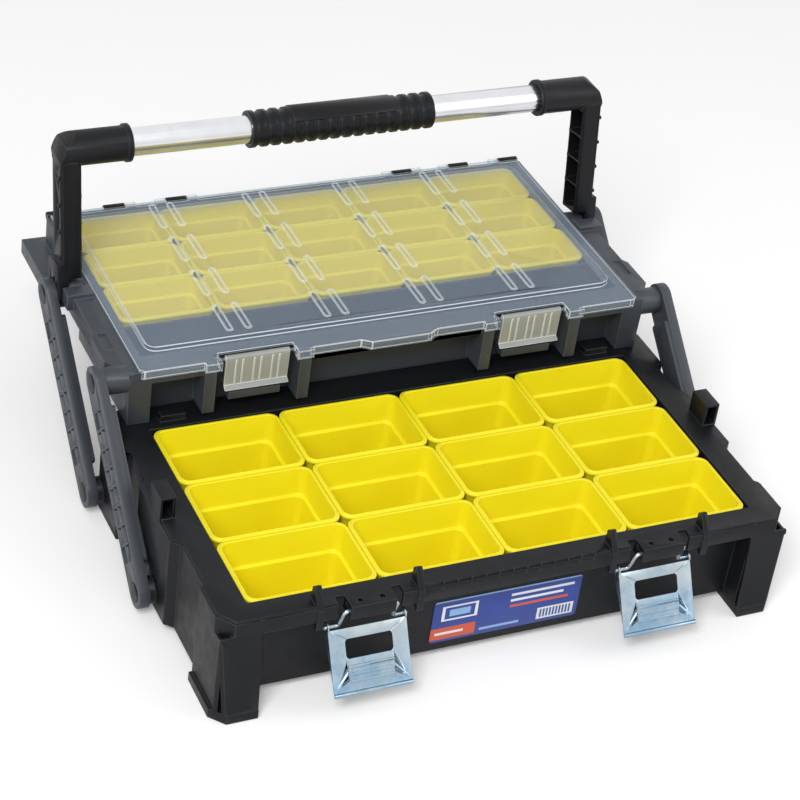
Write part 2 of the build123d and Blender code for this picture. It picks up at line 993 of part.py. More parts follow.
def clip_part(x):
    """A clear clip that hangs from the lid's front edge."""
    low = clip_z - clip_length
    with BuildPart() as clip:
        rod(clip_barrel, x - clip_width / 2, x + clip_width / 2, clip_y, clip_z)
        with BuildSketch(side_plane(x - clip_width / 2)) as profile:
            with BuildLine():
                Polyline(
                    (clip_y - clip_barrel, clip_z),
                    (clip_y - clip_barrel + 1.0, low + clip_lip),
                    (clip_y - clip_barrel - clip_lip, low),
                    (clip_y - clip_barrel - clip_lip + 1.4, low - 0.6),
                    (clip_y - clip_barrel + clip_wall + 0.6, low + clip_lip),
                    (clip_y - clip_barrel + clip_wall, clip_z),
                    close=True,
                )
            make_face()
        extrude(amount=clip_width)
        for number in range(3):
            for side in (-1, 1):
                middle = x + (number - 1) * 14.0 + side * 2.6
                block(
                    middle - 0.5,
                    middle + 0.5,
                    clip_y - clip_barrel - clip_rib + 0.6,
                    clip_y,
                    low + clip_lip + 1.0,
                    clip_z - 0.5,
                )
        rod(
            clip_pin + clip_clearance,
            x - clip_width / 2 - 1.0,
            x + clip_width / 2 + 1.0,
            clip_y,
            clip_z,
            Mode.SUBTRACT,
        )
    return clip


for side, name in ((-1, "left"), (1, "right")):
    finish(clip_part(side * latch_x), f"lid_clip_{name}")


def bail_part(x):
    """A bent wire: a bar through the lug, two legs, and ends turned out to the ears."""
    side_reach = plate_width / 2 + 1.5
    with BuildPart() as bail:
        with BuildLine() as path:
            FilletPolyline(
                (x - side_reach, case_y + ear_y, ear_z),
                (x - bail_leg, case_y + ear_y, ear_z),
                (x - bail_leg, case_y + bail_y, bail_z),
                (x + bail_leg, case_y + bail_y, bail_z),
                (x + bail_leg, case_y + ear_y, ear_z),
                (x + side_reach, case_y + ear_y, ear_z),
                radius=2.6,
            )
        with BuildSketch(Plane(origin=path.line @ 0, z_dir=path.line % 0)):
            Circle(wire_radius)
        sweep()
    return bail


def plate_part(x):
    """A pressed steel latch plate with a window, folded sides, ribs and a curled end."""
    half = plate_width / 2
    outward = (0, -plate_down, plate_out)
    face = Plane(origin=(x, case_y + ear_y, ear_z), x_dir=(1, 0, 0), z_dir=outward)
    fold = Plane(origin=(x - half, case_y + ear_y, ear_z), x_dir=outward, z_dir=(1, 0, 0))
    with BuildPart() as plate:
        with BuildSketch(face.offset(sheet_out)):
            with Locations((0, -(plate_length + plate_top) / 2)):
                Rectangle(plate_width, plate_length - plate_top)
            with Locations((0, -plate_hole_start - plate_hole_height / 2)):
                RectangleRounded(plate_hole_width, plate_hole_height, 2.5, mode=Mode.SUBTRACT)
        extrude(amount=plate_thickness)
        for shift in (0.0, plate_width - plate_thickness):
            with BuildSketch(fold.offset(shift)):
                with BuildLine():
                    Polyline(
                        (-ear_radius, 0),
                        (-ear_radius, 8.0),
                        (sheet_out, plate_length - 8.0),
                        (sheet_out + plate_thickness, plate_length - 8.0),
                        (sheet_out + plate_thickness, 0),
                        close=True,
                    )
                make_face()
                Circle(ear_radius)
                Circle(wire_radius + wire_clearance, mode=Mode.SUBTRACT)
            extrude(amount=plate_thickness)
        with BuildSketch(face.offset(sheet_out + plate_thickness / 2)):
            with Locations(*[(0, -place) for place in plate_ribs]):
                RectangleRounded(plate_rib_length, 2.0, 0.9)
        extrude(amount=plate_thickness)
        with BuildSketch(fold):
            with Locations((sheet_out + plate_curl, plate_length)):
                Circle(plate_curl)
        extrude(amount=plate_width)
    return plate


for side, name in ((-1, "left"), (1, "right")):
    finish(bail_part(side * latch_x), f"latch_bail_{name}")
    finish(plate_part(side * latch_x), f"latch_plate_{name}")


def arm_part(side, y):
    """An arm between a lower and an upper pivot, with thin round ends and a ribbed face."""
    near = arm_inner if side > 0 else -arm_outer
    end_near = arm_end_inner if side > 0 else -arm_outer
    body_length = arm_length - 2 * arm_end_length
    cell_step = (body_length - arm_cell_wall) / arm_cells
    cell_column = (arm_width - arm_cell_wall) / 2
    cell_places = [
        (column * cell_column / 2, arm_length / 2 + (number - (arm_cells - 1) / 2) * cell_step)
        for column in (-1, 1)
        for number in range(arm_cells)
    ]
    with BuildPart() as arm:
        with BuildSketch(arm_plane(end_near, y, pivot_height, arm_lean)):
            with Locations((0, arm_length / 2)):
                SlotCenterToCenter(arm_length, 2 * arm_end_radius, rotation=90)
        extrude(amount=arm_end_thickness)
        with BuildSketch(arm_plane(near, y, pivot_height, arm_lean)):
            with Locations((0, arm_length / 2)):
                RectangleRounded(arm_width, body_length, 3.0)
        extrude(amount=arm_thickness)
        outer = arm_plane(side * arm_outer, y, pivot_height, arm_lean)
        with BuildSketch(outer):
            with Locations(*cell_places):
                RectangleRounded(cell_column - arm_cell_wall, cell_step - arm_cell_wall, 1.2)
        extrude(amount=-side * arm_cell_depth, mode=Mode.SUBTRACT)
        with BuildSketch(outer):
            with Locations((0, 0), (0, arm_length)):
                Circle(pin_head_radius + pin_head_gap)
        extrude(amount=-side * (pin_head_height + pin_head_gap), mode=Mode.SUBTRACT)
        with BuildSketch(outer):
            with Locations((0, 0), (0, arm_length)):
                Circle(pin_radius + pin_clearance)
        extrude(amount=-side * (arm_thickness + 1.0), mode=Mode.SUBTRACT)
    return arm


def pin_part(side, y, z):
    """A headed pin whose shank runs through an arm into a boss."""
    head_near = arm_outer - pin_head_height
    shank_near = boss_end - pin_depth
    with BuildPart() as pin:
        if side > 0:
            rod(pin_head_radius, head_near, arm_outer, y, z)
            rod(pin_radius, shank_near, head_near + 0.5, y, z)
        else:
            rod(pin_head_radius, -arm_outer, -head_near, y, z)
            rod(pin_radius, -head_near - 0.5, -shank_near, y, z)
    return pin


for side, name in ((-1, "left"), (1, "right")):
    finish(arm_part(side, 0.0), f"front_arm_{name}")
    finish(arm_part(side, pivot_base), f"rear_arm_{name}")
    finish(pin_part(side, 0.0, pivot_height), f"front_lower_pin_{name}")
    finish(pin_part(side, pivot_base, pivot_height), f"rear_lower_pin_{name}")
    finish(pin_part(side, swing_y, upper_pivot_z), f"front_upper_pin_{name}")
    finish(pin_part(side, rear_pivot_y, upper_pivot_z), f"rear_upper_pin_{name}")


def upright_part(side):
    """A side of the handle: a tongue on the pivot, a channel and a sleeve for the tube."""
    tilt = radians(handle_lean)
    near = upright_inner if side > 0 else -upright_outer
    middle = side * (upright_inner + upright_outer) / 2
    foot = (
        middle,
        case_y + rear_pivot_y + upright_start * sin(tilt),
        upper_pivot_z + upright_start * cos(tilt),
    )
    channel_depth = upright_width - upright_wall
    channel_far = handle_length - sleeve_radius
    channel_near = upright_start + upright_wall
    rib_step = (channel_far - channel_near) / upright_ribs
    with BuildPart() as upright:
        with BuildSketch(Plane(origin=foot, x_dir=(1, 0, 0), z_dir=(0, sin(tilt), cos(tilt)))):
            RectangleRounded(upright_width, upright_depth, 2.5)
        extrude(amount=handle_length - upright_start)
        # Channel open towards the middle, with cross ribs
        mouth = arm_plane(side * upright_inner, rear_pivot_y, upper_pivot_z, handle_lean)
        with BuildSketch(mouth):
            with Locations((0, (channel_near + channel_far) / 2)):
                Rectangle(upright_depth - 2 * upright_wall, channel_far - channel_near)
        extrude(amount=side * channel_depth, mode=Mode.SUBTRACT)
        with BuildSketch(mouth):
            for number in range(1, upright_ribs):
                with Locations((0, channel_near + number * rib_step)):
                    Rectangle(upright_depth - upright_wall, upright_rib)
        extrude(amount=side * (channel_depth + 0.5))
        # Sleeve and its mitred corner
        if side > 0:
            rod(sleeve_radius, sleeve_start, upright_outer, tube_y, tube_z)
            rod(collar_radius, sleeve_start, sleeve_start + collar_width, tube_y, tube_z)
        else:
            rod(sleeve_radius, -upright_outer, -sleeve_start, tube_y, tube_z)
            rod(collar_radius, -sleeve_start - collar_width, -sleeve_start, tube_y, tube_z)
        with BuildSketch(front_plane(tube_y + 2 * sleeve_radius)):
            with BuildLine():
                Polyline(
                    (side * (upright_outer - sleeve_radius), tube_z + sleeve_radius),
                    (side * (upright_outer - 4.0), tube_z + sleeve_radius / 2),
                    (side * upright_outer, tube_z - sleeve_radius / 3),
                    (side * (upright_outer + 4.0), tube_z - sleeve_radius / 3),
                    (side * (upright_outer + 4.0), tube_z + 2 * sleeve_radius),
                    (side * (upright_outer - sleeve_radius), tube_z + 2 * sleeve_radius),
                    close=True,
                )
            make_face()
        extrude(amount=4 * sleeve_radius, mode=Mode.SUBTRACT)
        bore = tube_radius + slide_gap
        if side > 0:
            rod(bore, sleeve_start - 1.0, tube_half + 0.5, tube_y, tube_z, Mode.SUBTRACT)
        else:
            rod(bore, -tube_half - 0.5, -sleeve_start + 1.0, tube_y, tube_z, Mode.SUBTRACT)
        # Tongue that turns on the rear upper pin
        tongue_near = tongue_inner if side > 0 else -tongue_outer
        with BuildSketch(arm_plane(tongue_near, rear_pivot_y, upper_pivot_z, handle_lean)):
            Circle(tongue_radius)
            with Locations((0, tongue_top / 2)):
                Rectangle(upright_depth, tongue_top)
        extrude(amount=tongue_thickness)
        rod(
            pin_radius + pin_clearance,
            near - 4.0,
            near + upright_width + 4.0,
            rear_pivot_y,
            upper_pivot_z,
            Mode.SUBTRACT,
        )
        # Small studs along the outer face
        with BuildSketch(arm_plane(side * upright_outer, rear_pivot_y, upper_pivot_z, handle_lean)):
            for number in range(1, upright_ribs + 1):
                with Locations((-upright_depth / 2 + 3.0, channel_near + number * rib_step - 6.0)):
                    Circle(stud_radius)
        extrude(amount=side * stud_rise)
    return upright


for side, name in ((-1, "left"), (1, "right")):
    finish(upright_part(side), f"handle_upright_{name}")

with BuildPart() as handle_tube:
    rod(tube_radius, -tube_half, tube_half, tube_y, tube_z)
    rod(tube_radius - tube_wall, -tube_half - 1.0, tube_half + 1.0, tube_y, tube_z, Mode.SUBTRACT)
finish(handle_tube, "handle_tube")

# Grip with rings around it and a smooth saddle on top
with BuildPart() as handle_grip:
    rod(grip_radius, -grip_half_length, grip_half_length, tube_y, tube_z)
    ring_step = (2 * grip_half_length - grip_ring_width) / (grip_ribs - 1)
    for number in range(grip_ribs):
        start = -grip_half_length + number * ring_step
        rod(grip_radius + grip_rib, start, start + grip_ring_width, tube_y, tube_z)
    with BuildSketch(arm_plane(-grip_plate_half, tube_y, tube_z, handle_lean)):
        Circle(grip_radius + grip_plate_rise)
        with Locations((0, -grip_radius + grip_plate_drop)):
            Rectangle(4 * grip_radius, 2 * grip_radius, mode=Mode.SUBTRACT)
    extrude(amount=2 * grip_plate_half)
    rod(
        tube_radius + slide_gap,
        -grip_half_length - 1.0,
        grip_half_length + 1.0,
        tube_y,
        tube_z,
        Mode.SUBTRACT,
    )
finish(handle_grip, "handle_grip")

with BuildPart() as front_label:
    with BuildSketch(front_plane(panel_y)):
        with Locations((label_x, label_z)):
            RectangleRounded(label_width, label_height, 2.5)
    extrude(amount=label_thickness)
finish(front_label, "front_label")
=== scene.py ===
"""Surfaces and finishes of an open cantilever tool box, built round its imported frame."""

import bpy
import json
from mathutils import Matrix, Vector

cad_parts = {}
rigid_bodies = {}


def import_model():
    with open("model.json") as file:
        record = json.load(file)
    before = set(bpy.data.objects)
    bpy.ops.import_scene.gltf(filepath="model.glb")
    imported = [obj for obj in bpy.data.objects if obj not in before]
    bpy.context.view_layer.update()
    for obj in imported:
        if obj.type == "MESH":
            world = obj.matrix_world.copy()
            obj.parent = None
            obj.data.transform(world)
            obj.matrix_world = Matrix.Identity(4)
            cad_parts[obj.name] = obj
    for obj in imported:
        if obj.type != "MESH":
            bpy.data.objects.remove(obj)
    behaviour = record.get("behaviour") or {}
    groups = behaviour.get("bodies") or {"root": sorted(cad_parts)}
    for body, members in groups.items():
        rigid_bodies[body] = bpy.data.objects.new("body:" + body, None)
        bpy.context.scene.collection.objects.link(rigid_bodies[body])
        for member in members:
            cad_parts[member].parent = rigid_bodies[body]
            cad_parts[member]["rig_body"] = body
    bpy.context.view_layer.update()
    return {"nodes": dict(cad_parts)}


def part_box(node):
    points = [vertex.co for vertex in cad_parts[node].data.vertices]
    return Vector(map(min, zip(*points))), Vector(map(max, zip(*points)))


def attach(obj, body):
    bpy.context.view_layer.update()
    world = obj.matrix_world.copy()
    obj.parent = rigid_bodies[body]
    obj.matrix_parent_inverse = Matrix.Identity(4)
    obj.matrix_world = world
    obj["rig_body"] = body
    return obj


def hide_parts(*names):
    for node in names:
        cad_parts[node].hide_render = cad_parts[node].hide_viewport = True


bl_info = {
    "name": "Cantilever Tool Box",
    "version": (1, 0, 0),
    "blender": (4, 5, 0),
    "location": "View3D > Sidebar > Tool Box",
    "description": "Builds the finished surfaces of an open cantilever tool box round its frame",
    "category": "Object",
}

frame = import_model()

import json
from collections import Counter
from math import cos, pi, radians, sin

import bmesh
import bpy
from mathutils import Matrix, Vector
from mathutils.bvhtree import BVHTree

MM = 0.001
SIDES = ("left", "right")
LOWER_BINS = [name for name in sorted(frame["nodes"]) if name.startswith("lower_bin")]
UPPER_BINS = [name for name in sorted(frame["nodes"]) if name.startswith("upper_bin")]
# How far triangles may turn or step and still lie in one flat face
FLAT_TURN = cos(radians(0.4))
FLAT_STEP = 0.02 * MM
# The most triangles that are joined, because a long thin rim would cross itself when rounded
MOST_JOINED = 12
MERGE_GAP = 0.002 * MM
# Widths of the rounding: the narrowest face that is joined, and how far a corner may stray
NARROWEST_FACE = 3.0
STRAY_REACH = 0.7
EDGE_ANGLE = 30.0
WIRE_ANGLE = 60.0
# How fast a bin's corners tighten inwards, and the faces round each
CORNER_SHRINK = 0.45
CORNER_STEPS = 8
LABEL_EDGE = 0.1 * MM
LABEL_FIELD = (0.020, 0.050, 0.270)
LABEL_WHITE = (0.72, 0.75, 0.80)
LABEL_PALE = (0.25, 0.42, 0.72)
LABEL_ORANGE = (0.62, 0.085, 0.030)
BARS_LEFT = 0.74
BAR_WIDTH = 0.012
BAR_PITCH = 0.022
BARS = 10
# Left, right, foot and head of each printed block, as shares of the label
LABEL_BLOCKS = (
    (0.00, 1.00, 0.965, 1.00, LABEL_PALE),
    (0.00, 0.30, 0.06, 0.34, LABEL_ORANGE),
    (0.03, 0.22, 0.17, 0.23, LABEL_WHITE),
    (0.33, 0.60, 0.10, 0.16, LABEL_PALE),
    (0.06, 0.30, 0.50, 0.86, LABEL_WHITE),
    (0.08, 0.28, 0.54, 0.82, LABEL_FIELD),
    (0.11, 0.25, 0.60, 0.76, LABEL_PALE),
    (0.52, 0.95, 0.80, 0.86, LABEL_WHITE),
    (0.52, 0.88, 0.66, 0.72, LABEL_WHITE),
    (0.52, 0.92, 0.52, 0.58, LABEL_ORANGE),
    (0.72, 0.97, 0.08, 0.36, LABEL_WHITE),
    *(
        (left, left + BAR_WIDTH, 0.12, 0.32, LABEL_FIELD)
        for left in (BARS_LEFT + BAR_PITCH * bar for bar in range(BARS))
    ),
)


class ToolBoxSizes(bpy.types.PropertyGroup):
    """Small sizes of the moulded and pressed parts."""

    edge: bpy.props.FloatProperty(
        name="Moulded edge",
        description="Radius along the edges of the moulded cases",
        default=0.45 * MM,
        unit="LENGTH",
    )
    fine_edge: bpy.props.FloatProperty(
        name="Fine edge",
        description="Radius along the edges of small parts",
        default=0.25 * MM,
        unit="LENGTH",
    )
    bin_radius: bpy.props.FloatProperty(
        name="Bin corner",
        description="Radius of a bin's corners, seen from above",
        default=8.0 * MM,
        unit="LENGTH",
    )
    bin_wall: bpy.props.FloatProperty(
        name="Bin wall",
        description="Thickness of a bin's wall",
        default=1.5 * MM,
        unit="LENGTH",
    )
    lower_ledge: bpy.props.FloatProperty(
        name="Lower bin ledge",
        description="Depth of the ledge inside a lower bin, from its rim",
        default=24.0 * MM,
        unit="LENGTH",
    )
    upper_ledge: bpy.props.FloatProperty(
        name="Upper bin ledge",
        description="Depth of the ledge inside an upper bin, from its rim",
        default=15.0 * MM,
        unit="LENGTH",
    )


class ToolBoxColours(bpy.types.PropertyGroup):
    """Base colours of the finishes."""

    case_black: bpy.props.FloatVectorProperty(
        name="Lower case",
        description="Colour of the lower case and the handle",
        default=(0.0065, 0.0070, 0.0085),
        subtype="COLOR",
    )
    case_grey: bpy.props.FloatVectorProperty(
        name="Upper case",
        description="Colour of the upper case and the arms",
        default=(0.045, 0.052, 0.062),
        subtype="COLOR",
    )
    bin_yellow: bpy.props.FloatVectorProperty(
        name="Bins",
        description="Colour of the bins",
        default=(0.88, 0.76, 0.010),
        subtype="COLOR",
    )
    lid_clear: bpy.props.FloatVectorProperty(
        name="Lid",
        description="Tint of the frosted lid",
        default=(0.52, 0.64, 0.80),
        subtype="COLOR",
    )
    clip_clear: bpy.props.FloatVectorProperty(
        name="Clips",
        description="Tint of the lid's clips",
        default=(0.50, 0.52, 0.50),
        subtype="COLOR",
    )
    zinc: bpy.props.FloatVectorProperty(
        name="Latches",
        description="Colour of the zinc plated steel",
        default=(0.50, 0.56, 0.58),
        subtype="COLOR",
    )
    # Colour of the latches at their foot; they run from it to the paler latch colour at their top
    zinc_blue: bpy.props.FloatVectorProperty(
        name="Latch tint",
        description="Blue cast of the zinc along the foot of the latches",
        default=(0.22, 0.36, 0.50),
        subtype="COLOR",
    )
    tube: bpy.props.FloatVectorProperty(
        name="Tube",
        description="Colour of the aluminium tube",
        default=(0.78, 0.79, 0.82),
        subtype="COLOR",
    )


def body_of(node):
    """The body that a node of the frame rides on."""
    return frame["nodes"][node]["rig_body"]


def add_object(name, mesh, material):
    """A new object for a mesh, with its finish."""
    mesh.materials.clear()
    mesh.materials.append(material)
    piece = bpy.data.objects.new(name, mesh)
    bpy.context.scene.collection.objects.link(piece)
    return piece


def settle(piece, body, slot, *nodes):
    """Says which body a piece rides on and hides the nodes that it stands for; slot is not used."""
    if nodes:
        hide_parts(*nodes)
    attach(piece, body)
    return piece


def baked(piece):
    """Turns a piece's modifiers into its own mesh."""
    bpy.context.view_layer.update()
    graph = bpy.context.evaluated_depsgraph_get()
    mesh = bpy.data.meshes.new_from_object(piece.evaluated_get(graph))
    old = piece.data
    piece.modifiers.clear()
    piece.data = mesh
    if old.users == 0:
        bpy.data.meshes.remove(old)
    mesh.name = piece.name
    return piece


def flat_regions(work):
    """The faces of a mesh in groups that lie in one plane and share edges."""
    work.faces.ensure_lookup_table()
    seen = [False] * len(work.faces)
    regions = []
    for seed in work.faces:
        if seen[seed.index]:
            continue
        seen[seed.index] = True
        region = [seed]
        for face in region:
            for edge in face.edges:
                for other in edge.link_faces:
                    if seen[other.index] or other.normal.dot(seed.normal) < FLAT_TURN:
                        continue
                    if abs((other.verts[0].co - seed.verts[0].co).dot(seed.normal)) > FLAT_STEP:
                        continue
                    seen[other.index] = True
                    region.append(other)
        regions.append(region)
    return regions


def is_plain(region, narrowest):
    """Whether a group of faces has one outline, no hole, and is wide enough to round."""
    uses = Counter(edge for face in region for edge in face.edges)
    corners = {vert for face in region for vert in face.verts}
    if len(corners) - len(uses) + len(region) != 1:
        return False
    area = sum(face.calc_area() for face in region)
    outline = sum(edge.calc_length() for edge, times in uses.items() if times == 1)
    return area > narrowest * outline / 2


def flattened(work, narrowest):
    """Joins the triangles of each simple flat face, and leaves narrow, large and holed ones."""
    for region in flat_regions(work):
        if 1 < len(region) <= MOST_JOINED and is_plain(region, narrowest):
            bmesh.ops.dissolve_faces(work, faces=region, use_verts=False)
    straight = []
    for vert in work.verts:
        if len(vert.link_edges) != 2:
            continue
        first, second = (edge.other_vert(vert).co - vert.co for edge in vert.link_edges)
        if first.normalized().dot(second.normalized()) < -FLAT_TURN:
            straight.append(vert)
    bmesh.ops.dissolve_verts(work, verts=straight)


def pulled_in(mesh, tree, reach):
    """Brings corners that strayed from the solid's surface back onto it."""
    for vert in mesh.vertices:
        place, _, _, distance = tree.find_nearest(vert.co)
        if distance > reach:
            vert.co = place


def softened(node, material, slot, width, angle=EDGE_ANGLE):
    """A copy of a node with its edges rounded, which stands for it."""
    mesh = frame["nodes"][node].data.copy()
    work = bmesh.new()
    work.from_mesh(mesh)
    bmesh.ops.remove_doubles(work, verts=work.verts, dist=MERGE_GAP)
    tree = BVHTree.FromBMesh(work)
    flattened(work, NARROWEST_FACE * width)
    for face in work.faces:
        face.smooth = True
    work.to_mesh(mesh)
    work.free()
    piece = add_object(node + "_shell", mesh, material)
    # The rounded faces take a second slot until they are marked, and then it goes
    mesh.materials.append(material)
    bevel = piece.modifiers.new("edge", "BEVEL")
    bevel.width = width
    bevel.segments = 2
    bevel.limit_method = "ANGLE"
    bevel.angle_limit = radians(angle)
    bevel.use_clamp_overlap = False
    bevel.harden_normals = True
    bevel.material = 1
    baked(piece)
    mesh = piece.data
    pulled_in(mesh, tree, STRAY_REACH * width)
    edges = mesh.attributes.new("edge", "FLOAT", "FACE")
    edges.data.foreach_set("value", [float(face.material_index) for face in mesh.polygons])
    mesh.polygons.foreach_set("material_index", [0] * len(mesh.polygons))
    mesh.materials.pop(index=1)
    return settle(piece, body_of(node), slot, node)


def add_node(tree, kind, **sockets):
    """A shader node with some of its inputs set by name."""
    made = tree.nodes.new(kind)
    for name, value in sockets.items():
        made.inputs[name.replace("_", " ")].default_value = value
    return made


def new_material(name, colour, roughness, **sockets):
    """A material whose shader has its constants set, and the coordinates that it reads."""
    material = bpy.data.materials.new(name)
    material.use_nodes = True
    tree = material.node_tree
    shader = tree.nodes["Principled BSDF"]
    shader.inputs["Base Color"].default_value = (*colour, 1.0)
    shader.inputs["Roughness"].default_value = roughness
    for socket, value in sockets.items():
        shader.inputs[socket.replace("_", " ")].default_value = value
    place = tree.nodes.new("ShaderNodeTexCoord")
    return material, tree, shader, place.outputs["Object"]


def noise(tree, place, scale, detail=2.0, roughness=0.5):
    """A noise pattern of so many features to the metre."""
    made = add_node(tree, "ShaderNodeTexNoise", Scale=scale, Detail=detail, Roughness=roughness)
    tree.links.new(place, made.inputs["Vector"])
    return made.outputs["Fac"]


def spread(tree, value, low, high, start=0.3, end=0.7):
    """A pattern's middle range brought between two values."""
    made = tree.nodes.new("ShaderNodeMapRange")
    made.inputs["From Min"].default_value = start
    made.inputs["From Max"].default_value = end
    made.inputs["To Min"].default_value = low
    made.inputs["To Max"].default_value = high
    tree.links.new(value, made.inputs["Value"])
    return made.outputs["Result"]


def tinted(tree, factor, dark, light):
    """A colour that goes from dark to light with a pattern."""
    made = tree.nodes.new("ShaderNodeMix")
    made.data_type = "RGBA"
    made.inputs[6].default_value = (*dark, 1.0)
    made.inputs[7].default_value = (*light, 1.0)
    tree.links.new(factor, made.inputs[0])
    return made.outputs[2]


def bump(tree, shader, height, strength, distance):
    """A relief on a shader's surface."""
    made = add_node(tree, "ShaderNodeBump", Strength=strength, Distance=distance)
    tree.links.new(height, made.inputs["Height"])
    tree.links.new(made.outputs["Normal"], shader.inputs["Normal"])


def on_edges(tree):
    """One on a piece's rounded edges and nought elsewhere."""
    made = tree.nodes.new("ShaderNodeAttribute")
    made.attribute_name = "edge"
    return made.outputs["Fac"]


def combined(tree, operation, first, second):
    """A value worked out from two others, each a socket or a number."""
    made = tree.nodes.new("ShaderNodeMath")
    made.operation = operation
    for number, value in enumerate((first, second)):
        if isinstance(value, float):
            made.inputs[number].default_value = value
        else:
            tree.links.new(value, made.inputs[number])
    return made.outputs[0]


def between(tree, value, low, high):
    """One where a value lies between two numbers, and nought elsewhere."""
    above = combined(tree, "GREATER_THAN", value, low)
    below = combined(tree, "LESS_THAN", value, high)
    return combined(tree, "MULTIPLY", above, below)


def over_paint(tree, under, mask, colour):
    """A colour laid over another where a mask is one."""
    made = tree.nodes.new("ShaderNodeMix")
    made.data_type = "RGBA"
    tree.links.new(mask, made.inputs[0])
    tree.links.new(under, made.inputs[6])
    made.inputs[7].default_value = (*colour, 1.0)
    return made.outputs[2]


def shaded(colour, factor):
    """A colour made darker or lighter by a factor."""
    return tuple(min(1.0, channel * factor) for channel in colour)


def moulded(name, colour, roughness, grain, relief, variation=0.12, edge=1.0, **sockets):
    """Moulded plastic: fine grain, uneven sheen, faint clouding, and rounded edges painted paler in
    patches as a painted highlight.
    """
    material, tree, shader, place = new_material(name, colour, roughness, **sockets)
    clouds = noise(tree, place, 28.0, 4.0)
    dark = shaded(colour, 1.0 - variation)
    light = shaded(colour, 1.0 + variation)
    body = tinted(tree, clouds, dark, light)
    # Painted highlight: the rounded edges are painted paler in patches, standing in for the light
    # that real edges catch
    painted_edge_highlight = combined(tree, "MULTIPLY", on_edges(tree), spread(tree, clouds, 0.35, 0.9))
    tree.links.new(
        over_paint(tree, body, painted_edge_highlight, shaded(colour, edge)), shader.inputs["Base Color"]
    )
    sheen = noise(tree, place, 90.0, 5.0, 0.6)
    tree.links.new(
        spread(tree, sheen, roughness - 0.07, roughness + 0.09), shader.inputs["Roughness"]
    )
    bump(tree, shader, noise(tree, place, grain, 3.0), relief, 0.05 * MM)
    return material


def drawn_metal(name, colour, roughness, stretch, scale, relief):
    """Drawn metal: fine lines along one direction and small scratches."""
    material, tree, shader, place = new_material(name, colour, roughness, Metallic=1.0)
    mapping = add_node(tree, "ShaderNodeMapping", Scale=stretch)
    tree.links.new(place, mapping.inputs["Vector"])
    lines = noise(tree, mapping.outputs["Vector"], scale, 6.0, 0.65)
    tree.links.new(
        spread(tree, lines, roughness - 0.06, roughness + 0.12), shader.inputs["Roughness"]
    )
    blotches = noise(tree, place, 60.0, 4.0)
    tree.links.new(
        tinted(tree, blotches, shaded(colour, 0.88), shaded(colour, 1.08)),
        shader.inputs["Base Color"],
    )
    bump(tree, shader, lines, relief, 0.03 * MM)
    return material


def frosted(name, colour, alpha, roughness, edge_highlight_alpha, edge_highlight_colour):
    """Frosted clear plastic, with its rounded edges painted whiter as a painted highlight, and
    whiter where it is seen along its surface.
    """
    material, tree, shader, place = new_material(name, colour, roughness, Alpha=alpha)
    edges = on_edges(tree)
    grazing = add_node(tree, "ShaderNodeLayerWeight", Blend=0.25)
    haze = spread(tree, grazing.outputs["Facing"], alpha, min(1.0, alpha * 3.0), 0.35, 0.95)
    # Painted highlight: the rounded edges are made more opaque and painted whiter, as bright lines
    # along the outline
    lines = combined(tree, "MULTIPLY", edges, edge_highlight_alpha)
    tree.links.new(combined(tree, "MAXIMUM", haze, lines), shader.inputs["Alpha"])
    clouds = noise(tree, place, 30.0, 3.0)
    body = tinted(tree, clouds, shaded(colour, 0.94), shaded(colour, 1.06))
    # The painted highlight colour is laid on the rounded edges
    tree.links.new(over_paint(tree, body, edges, edge_highlight_colour), shader.inputs["Base Color"])
    bump(tree, shader, noise(tree, place, 700.0, 3.0), 0.15, 0.05 * MM)
    return material


def zinc_plate(name, top, bottom, low, high):
    """Zinc plated sheet that goes from one tint to another with height."""
    material, tree, shader, place = new_material(name, top, 0.34, Metallic=1.0)
    split = tree.nodes.new("ShaderNodeSeparateXYZ")
    tree.links.new(place, split.inputs["Vector"])
    # Bluer and darker towards the foot, paler towards the top
    height = spread(tree, split.outputs["Z"], 0.0, 1.0, low, high)
    stains = spread(tree, noise(tree, place, 45.0, 4.0), -0.35, 0.35)
    share = combined(tree, "ADD", height, stains)
    body = tinted(tree, share, bottom, top)
    grain = spread(tree, noise(tree, place, 240.0, 5.0, 0.7), 0.0, 0.25)
    tree.links.new(over_paint(tree, body, grain, shaded(top, 1.35)), shader.inputs["Base Color"])
    tree.links.new(
        spread(tree, noise(tree, place, 120.0, 4.0), 0.26, 0.44), shader.inputs["Roughness"]
    )
    bump(tree, shader, noise(tree, place, 900.0, 3.0), 0.1, 0.03 * MM)
    return material


materials = {}


